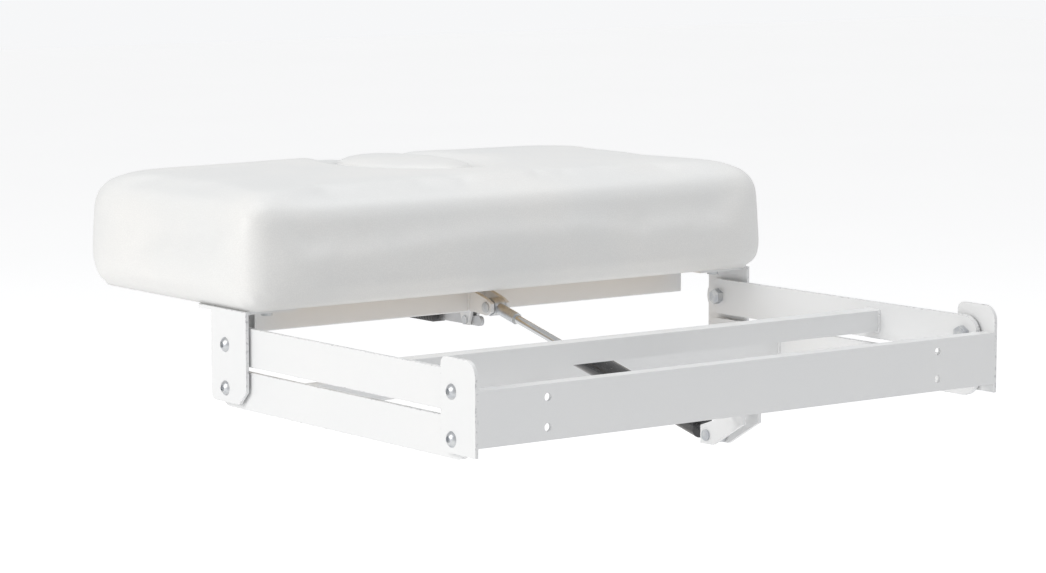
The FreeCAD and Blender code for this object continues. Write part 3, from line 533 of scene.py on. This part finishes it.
# White polyurethane leatherette: a fine pebbled grain with shallow creases, softly uneven gloss, and the
# slightest warm and cool drift in the white.
hide = Finish("white_leatherette")
drift = hide.mottle(7, 3.0)
wander = hide.node("ShaderNodeTexNoise", None, {"Vector": hide.place, "Scale": 420.0}, "Color")
shift = hide.node("ShaderNodeVectorMath", {"operation": "SCALE"}, {0: wander, "Scale": 0.0012})
warped = hide.node("ShaderNodeVectorMath", {"operation": "ADD"}, {0: hide.place, 1: shift})
pebble = hide.node("ShaderNodeTexVoronoi", {"feature": "F1"}, {"Vector": warped, "Scale": 760.0},
                   "Distance")
crease = 1 - pebble.step(0.25, 0.75)
pores = hide.mottle(2600, 1.0)
grain = crease * 0.75 + pores * 0.25
swell = hide.mottle(26, 2.0)
whites = hide.mix(drift.step(0.3, 0.7), (0.755, 0.76, 0.755, 1), (0.79, 0.785, 0.77, 1))
# The white is painted a shade darker by the grain's crease mask, which also drives the bump: painted shade
# in the grain.
white_with_grain_shade = hide.mix(crease * 0.4, whites, (0.69, 0.69, 0.685, 1))
fine = hide.node("ShaderNodeBump", None, {"Height": grain, "Distance": 0.00016, "Strength": 0.5})
soft = hide.node("ShaderNodeBump", None,
                 {"Height": swell, "Distance": 0.0012, "Strength": 0.35, "Normal": fine})
leatherette = hide.done(Base_Color=white_with_grain_shade, Roughness=0.40 + drift * 0.1 + (1 - crease) * 0.06, Normal=soft,
                        Coat_Weight=0.06, Coat_Roughness=0.35, Sheen_Weight=0.08, Sheen_Roughness=0.4)
cushion.data.materials.clear()
cushion.data.materials.append(leatherette)


# ---------------------------------------------------------------- plug
# The filler of the breathing hole: an oval of foam on a thin board in the same leatherette, domed so that it
# stands a little proud of the cushion, and gathered under its board.

plug_y = hole_y
plug_across, plug_along = (plug_high.x - plug_low.x) / 2, (plug_high.y - plug_low.y) / 2
plug_bottom = plug_low.z
disc_low, disc_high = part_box("plug_board")


def plug_ring(inset, height, lift=0.0):
    ring = []
    for spoke in range(spokes):
        angle = 2 * math.pi * spoke / spokes
        across, along = math.cos(angle), math.sin(angle)
        out = 1 / math.hypot(across / (plug_across - inset), along / (plug_along - inset))
        ring.append((across * out, plug_y + along * out, height + lift))
    return ring


def plug_rings():
    """From under the plug's rim, up its side and over the dome."""
    edge = 0.016
    high = plug_high.z - 0.0045
    rings = [plug_ring(0.0012 + 0.0012, plug_bottom + 0.0002), plug_ring(0.0008, plug_bottom + 0.003)]
    for share in (0.2, 0.4, 0.6, 0.8, 1.0):
        rings.append(plug_ring(0.0008, plug_bottom + 0.003 + (high - edge - plug_bottom - 0.003) * share))
    for step in range(1, 8):
        turn = math.pi / 2 * step / 7
        rings.append(plug_ring(0.0008 + edge * (1 - math.cos(turn)), high - edge * (1 - math.sin(turn))))
    for inset, lift in ((0.028, 0.0016), (0.042, 0.0030), (0.058, 0.0040), (0.0725, 0.0044)):
        rings.append(plug_ring(inset, high, lift))
    return rings


plug_shell = plug_rings()
plug_mesh = bpy.data.meshes.new("plug")
plug_points = [point for ring in plug_shell for point in ring]
plug_faces = [(step * spokes + spoke, step * spokes + (spoke + 1) % spokes,
               (step + 1) * spokes + (spoke + 1) % spokes, (step + 1) * spokes + spoke)
              for step in range(len(plug_shell) - 1) for spoke in range(spokes)]
plug_faces.append(tuple(range(spokes))[::-1])
plug_faces.append(tuple((len(plug_shell) - 1) * spokes + spoke for spoke in range(spokes)))
plug_mesh.from_pydata(plug_points, [], plug_faces)
plug = link_object("plug", plug_mesh)


def plug_held(x, y, z):
    """The plug's side is held by the hole; only its dome is free to swell."""
    return 1 - smooth(z, plug_high.z - 0.030, plug_high.z - 0.012)


blow_up(plug, 0.0042, 0.0028, plug_held)
seat = []
for inset, height in ((0.0021, plug_bottom - 0.01), (0.0021, disc_high.z + 0.0002)):
    seat.append(plug_ring(inset, height))
seat_mesh = bpy.data.meshes.new("disc_space")
seat_faces = [(spoke, (spoke + 1) % spokes, spokes + (spoke + 1) % spokes, spokes + spoke)
              for spoke in range(spokes)]
seat_faces += [tuple(range(spokes))[::-1], tuple(spokes + spoke for spoke in range(spokes))]
seat_mesh.from_pydata([point for ring in seat for point in ring], [], seat_faces)
disc_space = link_object("disc_space", seat_mesh)
hollow = plug.modifiers.new("hollow", "BOOLEAN")
hollow.operation, hollow.object, hollow.solver = "DIFFERENCE", disc_space, "EXACT"
use_up(plug, hollow)
clean_cut(plug)
bpy.data.objects.remove(disc_space)
for face in plug.data.polygons:
    face.use_smooth = True
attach(plug, "plug")
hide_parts("plug_cover", "plug_foam")
plug.data.materials.clear()
plug.data.materials.append(leatherette)


# ---------------------------------------------------------------- boards
# The cushion's base and the plug's disc are birch plywood, sawn and left bare: long grain on the faces and
# light and dark plies along the sawn edges.

def dress(material, *nodes):
    """Give CAD nodes a material in all of their slots."""
    for name in nodes:
        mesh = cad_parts[name].data
        if not mesh.materials:
            mesh.materials.append(material)
        for number in range(len(mesh.materials)):
            mesh.materials[number] = material


birch = Finish("birch_plywood")
facing = birch.node("ShaderNodeSeparateXYZ", None, {0: birch.node("ShaderNodeTexCoord", out="Normal")})["Z"]
on_face = abs(facing).step(0.5, 0.8)
grain_lines = birch.mottle(1.0, 6.0, birch.stretched(6.0, 220.0, 60.0))
bands = birch.mottle(1.0, 2.0, birch.stretched(1.2, 26.0, 10.0))
figure = (grain_lines * 0.6 + bands * 0.4).step(0.3, 0.7)
sheet_face = birch.mix(figure, (0.60, 0.42, 0.24, 1), (0.78, 0.62, 0.42, 1))
plies = birch.z * (2 * math.pi / 0.003)
layer = plies.maths("SINE", plies) * 0.5 + 0.5
end_grain = birch.mottle(900, 2.0)
sawn = birch.mix(layer.step(0.35, 0.65) * 0.85 + end_grain * 0.15,
                 (0.36, 0.22, 0.12, 1), (0.74, 0.58, 0.38, 1))
plywood = birch.done(Base_Color=birch.mix(on_face, sawn, sheet_face), Roughness=0.58 + grain_lines * 0.22,
                     Normal=birch.bump(grain_lines * 0.7 + end_grain * 0.3, 0.0003, 0.5))
dress(plywood, "base_board", "plug_board")


# ---------------------------------------------------------------- powder-coated steel
# The channel, side plates, links, tubes, lugs and brackets are welded from mild steel and powder-coated
# white. The coat has a faint orange-peel skin, is rubbed thin along the plates' and links' edges where they
# pass each other, and holds a little dust on its upward faces.

def powder(name, rubbed=None):
    """The white coat; rubbed builds a mask from 0 to 1 of where the edges are worn."""
    coat = Finish(name)
    peel = coat.mottle(480, 1.0)
    tone = coat.mottle(5, 2.0)
    up = coat.node("ShaderNodeSeparateXYZ", None, {0: coat.node("ShaderNodeTexCoord", out="Normal")})["Z"]
    dust = up.step(0.6, 0.95) * coat.mottle(38, 4.0).step(0.35, 0.8) * 0.35
    paint = coat.mix(tone, (0.75, 0.76, 0.77, 1), (0.80, 0.80, 0.795, 1))
    paint = coat.mix(dust, paint, (0.62, 0.60, 0.56, 1))
    if rubbed:
        patchy = coat.mottle(210, 5.0)
        worn = (rubbed(coat) * (patchy + 0.3)).step(0.80, 1.0)
    else:
        worn = coat.mottle(620, 1.0).step(0.80, 0.84) * 0.5
    primer = coat.mix(worn, paint, (0.55, 0.56, 0.57, 1))
    return coat.done(Base_Color=primer, Roughness=0.34 + peel * 0.10 + dust * 0.3, Metallic=worn * 0.6,
                     Normal=coat.bump(peel - worn * 0.8, 0.00022, 0.35), Coat_Weight=0.15,
                     Coat_Roughness=0.2)


def near_box_edge(low, high):
    """A mask builder for a plate in the YZ plane: 1 at its outline, 0 from 3 mm inside it."""
    def mask(coat):
        over_y = (high.y - low.y) / 2 - abs(coat.y - (low.y + high.y) / 2)
        over_z = (high.z - low.z) / 2 - abs(coat.z - (low.z + high.z) / 2)
        return 1 - over_y.least(over_z).step(0.0002, 0.0030)
    return mask


def near_bar_edge(low, high):
    """A mask builder for a link with round ends: 1 at its outline, 0 from 3 mm inside it."""
    half = (high.z - low.z) / 2
    def mask(coat):
        along = (abs(coat.y - (low.y + high.y) / 2) - ((high.y - low.y) / 2 - half)).most(0.0)
        up = coat.z - (low.z + high.z) / 2
        out = (along * along + up * up) ** 0.5
        return 1 - (half - out).step(0.0002, 0.0030)
    return mask


plain_coat = powder("white_powder_coat")
dress(plain_coat, "mount_channel", "upper_cross_tube", "lower_cross_tube", "yoke_tube", "gas_spring_lug",
      "gas_spring_clevis", "lever_bracket")
dress(powder("bed_plate_coat", near_box_edge(*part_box("bed_plate_left"))), "bed_plate_left",
      "bed_plate_right")
leg_low, leg_high = (Vector(corner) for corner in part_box("head_plate_left"))
leg_high.y = leg_low.y + 0.112
dress(powder("head_plate_coat", near_box_edge(leg_low, leg_high)), "head_plate_left", "head_plate_right")
for level in ("upper", "lower"):
    dress(powder(f"{level}_link_coat", near_bar_edge(*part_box(f"{level}_link_left"))), f"{level}_link_left",
          f"{level}_link_right")


# ---------------------------------------------------------------- weld beads
# Fillet welds join the cross tubes to the links, the channel to the bed plates, the yoke to the flanges and
# the lugs to what carries them. Each bead is a row of overlapping ripples under the same white coat.

def rule(name, *inputs):
    """A geometry node tree with one geometry input, named number inputs and one geometry output."""
    tree = bpy.data.node_groups.new(name, "GeometryNodeTree")
    tree.interface.new_socket("Geometry", in_out="INPUT", socket_type="NodeSocketGeometry")
    for label, kind, value in inputs:
        tree.interface.new_socket(label, in_out="INPUT", socket_type=kind).default_value = value
    tree.interface.new_socket("Geometry", in_out="OUTPUT", socket_type="NodeSocketGeometry")
    graph = Graph(tree)
    return graph, graph.node("NodeGroupInput")


def close_rule(graph, shape, material):
    """End the tree with real geometry in one material."""
    real = graph.node("GeometryNodeRealizeInstances", None, {0: shape})
    painted = graph.node("GeometryNodeSetMaterial", None, {"Geometry": real, "Material": material})
    end = graph.tree.nodes.new("NodeGroupOutput")
    graph.tree.links.new(painted.out, end.inputs[0])


def grown(name, start, tree, sizes, body):
    """Run a tree on a start mesh with its sizes set, and keep the result as one plain piece on a body."""
    carrier = link_object(f"{name}_start", start)
    modifier = carrier.modifiers.new("rule", "NODES")
    modifier.node_group = tree
    sockets = {item.name: item.identifier for item in tree.interface.items_tree if item.in_out == "INPUT"}
    for label, value in sizes.items():
        modifier[sockets[label]] = value
    carrier.update_tag()
    bpy.context.view_layer.update()
    made = bpy.data.meshes.new_from_object(carrier.evaluated_get(bpy.context.evaluated_depsgraph_get()))
    made.name = name
    carrier.modifiers.remove(modifier)
    bpy.data.objects.remove(carrier)
    piece = link_object(name, made)
    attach(piece, body)
    return piece


def lines(name, *paths):
    """A mesh of open polylines."""
    mesh = bpy.data.meshes.new(name)
    points, edges = [], []
    for path in paths:
        first = len(points)
        points += path
        edges += [(first + step, first + step + 1) for step in range(len(path) - 1)]
    mesh.from_pydata(points, edges, [])
    return mesh


bead, given = rule("bead", ("Pitch", "NodeSocketFloat", 0.0014), ("Throat", "NodeSocketFloat", 0.0022),
                   ("Seed", "NodeSocketInt", 3))
path = bead.node("GeometryNodeMeshToCurve", None, {0: given["Geometry"]})
path = bead.node("GeometryNodeResampleCurve", {"mode": "LENGTH"}, {"Curve": path, "Length": given["Pitch"]})
ripple = bead.node("GeometryNodeMeshIcoSphere", None, {"Radius": given["Throat"], "Subdivisions": 2})
ripple = bead.node("GeometryNodeSetShadeSmooth", None, {0: ripple})
uneven = bead.node("FunctionNodeRandomValue", {"data_type": "FLOAT"}, {"Seed": given["Seed"]}, 1)
uneven.out.node.inputs[2].default_value = 0.84
uneven.out.node.inputs[3].default_value = 1.1
row = bead.node("GeometryNodeInstanceOnPoints", None, {"Points": path, "Instance": ripple, "Scale": uneven})
close_rule(bead, row, plain_coat)


def round_tube(low, high, x):
    """The corner line of a square tube's end at x."""
    return [(x, low.y, low.z), (x, high.y, low.z), (x, high.y, high.z), (x, low.y, high.z),
            (x, low.y, low.z)]


for level in ("upper", "lower"):
    low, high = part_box(f"{level}_cross_tube")
    ends = [round_tube(low, high, x) for x in (low.x + 0.0006, high.x - 0.0006)]
    grown(f"{level}_link_welds", lines("ends", *ends), bead.tree,
          {"Pitch": 0.0014, "Throat": 0.0021, "Seed": 3}, f"{level}_links")
low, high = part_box("mount_channel")
inner = high.x - 0.0006
seams = [[(side * inner, 0.0040, high.z - 0.0040), (side * inner, high.y - 0.001, high.z - 0.0040)]
         for side in (-1, 1)]
seams += [[(side * inner, 0.0040, low.z + 0.0040), (side * inner, high.y - 0.001, low.z + 0.0040)]
          for side in (-1, 1)]
seams += [[(side * inner, 0.0046, low.z + 0.006), (side * inner, 0.0046, high.z - 0.006)]
          for side in (-1, 1)]
lug_low, lug_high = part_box("gas_spring_lug")
seams += [[(x, 0.0034, low.z - 0.0004), (x, high.y, low.z - 0.0004)] for x in (lug_low.x, lug_high.x)]
grown("channel_welds", lines("seams", *seams), bead.tree, {"Pitch": 0.0014, "Throat": 0.0019, "Seed": 5},
      "bed_bracket")
low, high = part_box("yoke_tube")
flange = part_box("head_plate_left")[0].y
seams = []
for side in (-1, 1):
    for place in (low.y, high.y):
        seams.append([(side * 0.3005, place, high.z - 0.0006), (side * high.x, place, high.z - 0.0006)])
    seams.append([(side * high.x, low.y, high.z - 0.0006), (side * high.x, high.y, high.z - 0.0006)])
clevis_low, clevis_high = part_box("gas_spring_clevis")
seams += [[(x, low.y - 0.0004, low.z + 0.003), (x, low.y - 0.0004, high.z - 0.003)]
          for x in (clevis_low.x, clevis_high.x)]
ears_low, ears_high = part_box("lever_bracket")
seams += [[(x, ears_low.y + 0.001, low.z - 0.0004), (x, ears_high.y - 0.001, low.z - 0.0004)]
          for x in (ears_low.x, ears_high.x)]
grown("yoke_welds", lines("seams", *seams), bead.tree, {"Pitch": 0.0014, "Throat": 0.0019, "Seed": 8},
      "head_section")


# ---------------------------------------------------------------- bolts, nuts, screws and pins
# Zinc-plated steel from the box: domed shoulder bolts with hexagon sockets, lock nuts, low-headed
# screws with their tee nuts, and the gas spring's pins. Bright, slightly blue, with fine turning marks.

zinc = Finish("zinc_plate")
clouds = zinc.mottle(160, 3.0)
turned = zinc.mottle(1.0, 2.0, zinc.stretched(300.0, 2400.0, 2400.0))
plating = zinc.mix(clouds.step(0.3, 0.75), (0.52, 0.54, 0.57, 1), (0.68, 0.69, 0.69, 1))
plating = zinc.mix(zinc.mottle(60, 2.0).step(0.62, 0.8) * 0.5, plating, (0.62, 0.58, 0.46, 1))
plated = zinc.done(Base_Color=plating, Metallic=0.95, Roughness=0.24 + clouds * 0.18 + turned * 0.08,
                   Normal=zinc.bump(turned * 0.5 + clouds * 0.5, 0.00006, 0.4))
dress(plated, "rear_pivot_bolts", "rear_pivot_nuts", "front_pivot_bolts", "front_pivot_nuts",
      "cushion_screws", "tee_nuts", "gas_spring_rear_pin", "gas_spring_front_pin", "lever_pin",
      "gas_spring_rear_eye", "gas_spring_release_head")

# The lever is the same plated steel, but cut from strip, with drawn lines along it.
strip = Finish("drawn_strip")
drawn = strip.mottle(1.0, 3.0, strip.stretched(1600.0, 18.0, 1600.0))
hazy = strip.mottle(45, 3.0)
strip_steel = strip.done(Base_Color=strip.mix(hazy, (0.50, 0.51, 0.53, 1), (0.66, 0.66, 0.66, 1)),
                         Metallic=0.95, Roughness=0.26 + drawn * 0.22,
                         Normal=strip.bump(drawn, 0.00008, 0.4))
dress(strip_steel, "release_lever")


# ---------------------------------------------------------------- gas spring
# A lockable gas spring: a black enamelled cylinder with a thin run of paint marks and dust, and a
# hard-chromed piston rod with a light film of oil.

enamel = Finish("black_enamel")
haze = enamel.mottle(30, 4.0)
scuffs = enamel.mottle(1.0, 4.0, enamel.stretched(900.0, 40.0, 900.0)).step(0.68, 0.76)
black = enamel.mix(haze.step(0.4, 0.8), (0.012, 0.012, 0.014, 1), (0.035, 0.034, 0.034, 1))
black = enamel.mix(scuffs * 0.5, black, (0.16, 0.16, 0.16, 1))
dress(enamel.done(Base_Color=black, Roughness=0.16 + haze * 0.16 + scuffs * 0.25, Coat_Weight=0.4,
                  Coat_Roughness=0.08, Normal=enamel.bump(enamel.mottle(300, 2.0), 0.0001, 0.25)),
      "gas_spring_cylinder")

chrome = Finish("chromed_rod")
ground = chrome.mottle(1.0, 2.0, chrome.stretched(200.0, 3000.0, 3000.0))
film = chrome.mottle(35, 3.0)
dress(chrome.done(Base_Color=chrome.mix(film, (0.62, 0.63, 0.64, 1), (0.74, 0.745, 0.75, 1)), Metallic=1.0,
                  Roughness=0.06 + ground * 0.05 + film.step(0.5, 0.8) * 0.12,
                  Normal=chrome.bump(ground, 0.00003, 0.3)), "gas_spring_rod")


# ---------------------------------------------------------------- bushes, pads and grip
# Black acetal bushes in the links and the spring's rod guide, rubber strips between the flanges and the
# board, and a dipped plastic grip with moulded finger ribs on the lever.

acetal = Finish("acetal")
moulded = acetal.mottle(240, 3.0)
dress(acetal.done(Base_Color=acetal.mix(moulded, (0.025, 0.025, 0.028, 1), (0.05, 0.05, 0.052, 1)),
                  Roughness=0.38 + moulded * 0.18, Normal=acetal.bump(moulded, 0.0001, 0.3)),
      "upper_link_bushes", "lower_link_bushes", "gas_spring_rod_guide")

rubber = Finish("rubber_strip")
bloom = rubber.mottle(70, 4.0)
dress(rubber.done(Base_Color=rubber.mix(bloom, (0.018, 0.018, 0.018, 1), (0.07, 0.068, 0.065, 1)),
                  Roughness=0.72 + bloom * 0.2, Normal=rubber.bump(rubber.mottle(1500, 2.0), 0.0002, 0.5)),
      "flange_pad_left", "flange_pad_right")

grip = Finish("grip_plastic")
wave = grip.y * (2 * math.pi / 0.006)
rib = wave.maths("SINE", wave) * 0.5 + 0.5
skin = grip.mottle(900, 2.0)
# The grooves between the ribs are painted darker than their crests: painted shade.
dress(grip.done(Base_Color=grip.mix(rib.step(0.2, 0.9), (0.02, 0.02, 0.022, 1), (0.055, 0.055, 0.058, 1)),
                Roughness=0.42 + skin * 0.2,
                Normal=grip.bump(rib.step(0.15, 0.85) * 0.9 + skin * 0.1, 0.0008, 0.7)),
      "lever_grip")


# ---------------------------------------------------------------- staples
# Fine galvanised staples, driven by hand at an uneven pitch, hold the turned-under cover to the board all
# round and beside the breathing hole. They stop short where the flanges lie against the board.

wire = Finish("staple_wire")
tarnish = wire.mottle(420, 2.0)
staple_wire = wire.done(Base_Color=wire.mix(tarnish, (0.42, 0.42, 0.41, 1), (0.66, 0.66, 0.65, 1)),
                        Metallic=0.9, Roughness=0.3 + tarnish * 0.2,
                        Normal=wire.bump(tarnish, 0.00004, 0.3))
tacks, given = rule("staples", ("Pitch", "NodeSocketFloat", 0.02), ("Crown", "NodeSocketFloat", 0.011),
                    ("Wire", "NodeSocketFloat", 0.0005), ("Seed", "NodeSocketInt", 11))
path = tacks.node("GeometryNodeMeshToCurve", None, {0: given["Geometry"]})
path = tacks.node("GeometryNodeResampleCurve", {"mode": "LENGTH"},
                  {"Curve": path, "Length": given["Pitch"]})
heading = tacks.node("GeometryNodeInputTangent")
turned_to = tacks.node("FunctionNodeAlignRotationToVector", {"axis": "X"}, {"Vector": heading})
sway = tacks.node("FunctionNodeRandomValue", {"data_type": "FLOAT_VECTOR"}, {"Seed": given["Seed"]}, 0)
sway.out.node.inputs[0].default_value = (0, 0, -0.16)
sway.out.node.inputs[1].default_value = (0, 0, 0.16)
turned_to = tacks.node("FunctionNodeRotateRotation", {"rotation_space": "LOCAL"},
                       {"Rotation": turned_to, "Rotate By": sway})
half = given["Crown"] * 0.5
start = tacks.node("ShaderNodeCombineXYZ", None, {"X": 0 - half})
end = tacks.node("ShaderNodeCombineXYZ", None, {"X": half})
crown = tacks.node("GeometryNodeCurvePrimitiveLine", None, {"Start": start, "End": end})
profile = tacks.node("GeometryNodeCurvePrimitiveCircle", None, {"Resolution": 8, "Radius": given["Wire"]})
crown = tacks.node("GeometryNodeCurveToMesh", None,
                   {"Curve": crown, "Profile Curve": profile, "Fill Caps": True})
row = tacks.node("GeometryNodeInstanceOnPoints", None,
                 {"Points": path, "Instance": crown, "Rotation": turned_to})
close_rule(tacks, row, staple_wire)
staple_level = underside - 0.0001
clear_from, clear_to = flange - 0.012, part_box("head_plate_left")[1].y + 0.012
border = [(x, y, staple_level) for x, y in outline_ring(0.027)]
ahead_run = [point for point in border if point[1] > clear_to]
ahead_run.sort(key=lambda point: math.atan2(point[0], point[1] - hole_y))
behind_run = [point for point in border if point[1] < clear_from and abs(point[0]) < 0.352]
behind_run.sort(key=lambda point: point[0])
round_hole = [(x, y, staple_level) for x, y in hole_ring(0.016)]
grown("cover_staples", lines("runs", ahead_run, behind_run, round_hole + round_hole[:1]), tacks.tree,
      {"Pitch": 0.021, "Crown": 0.010, "Wire": 0.0005, "Seed": 11}, "head_section")
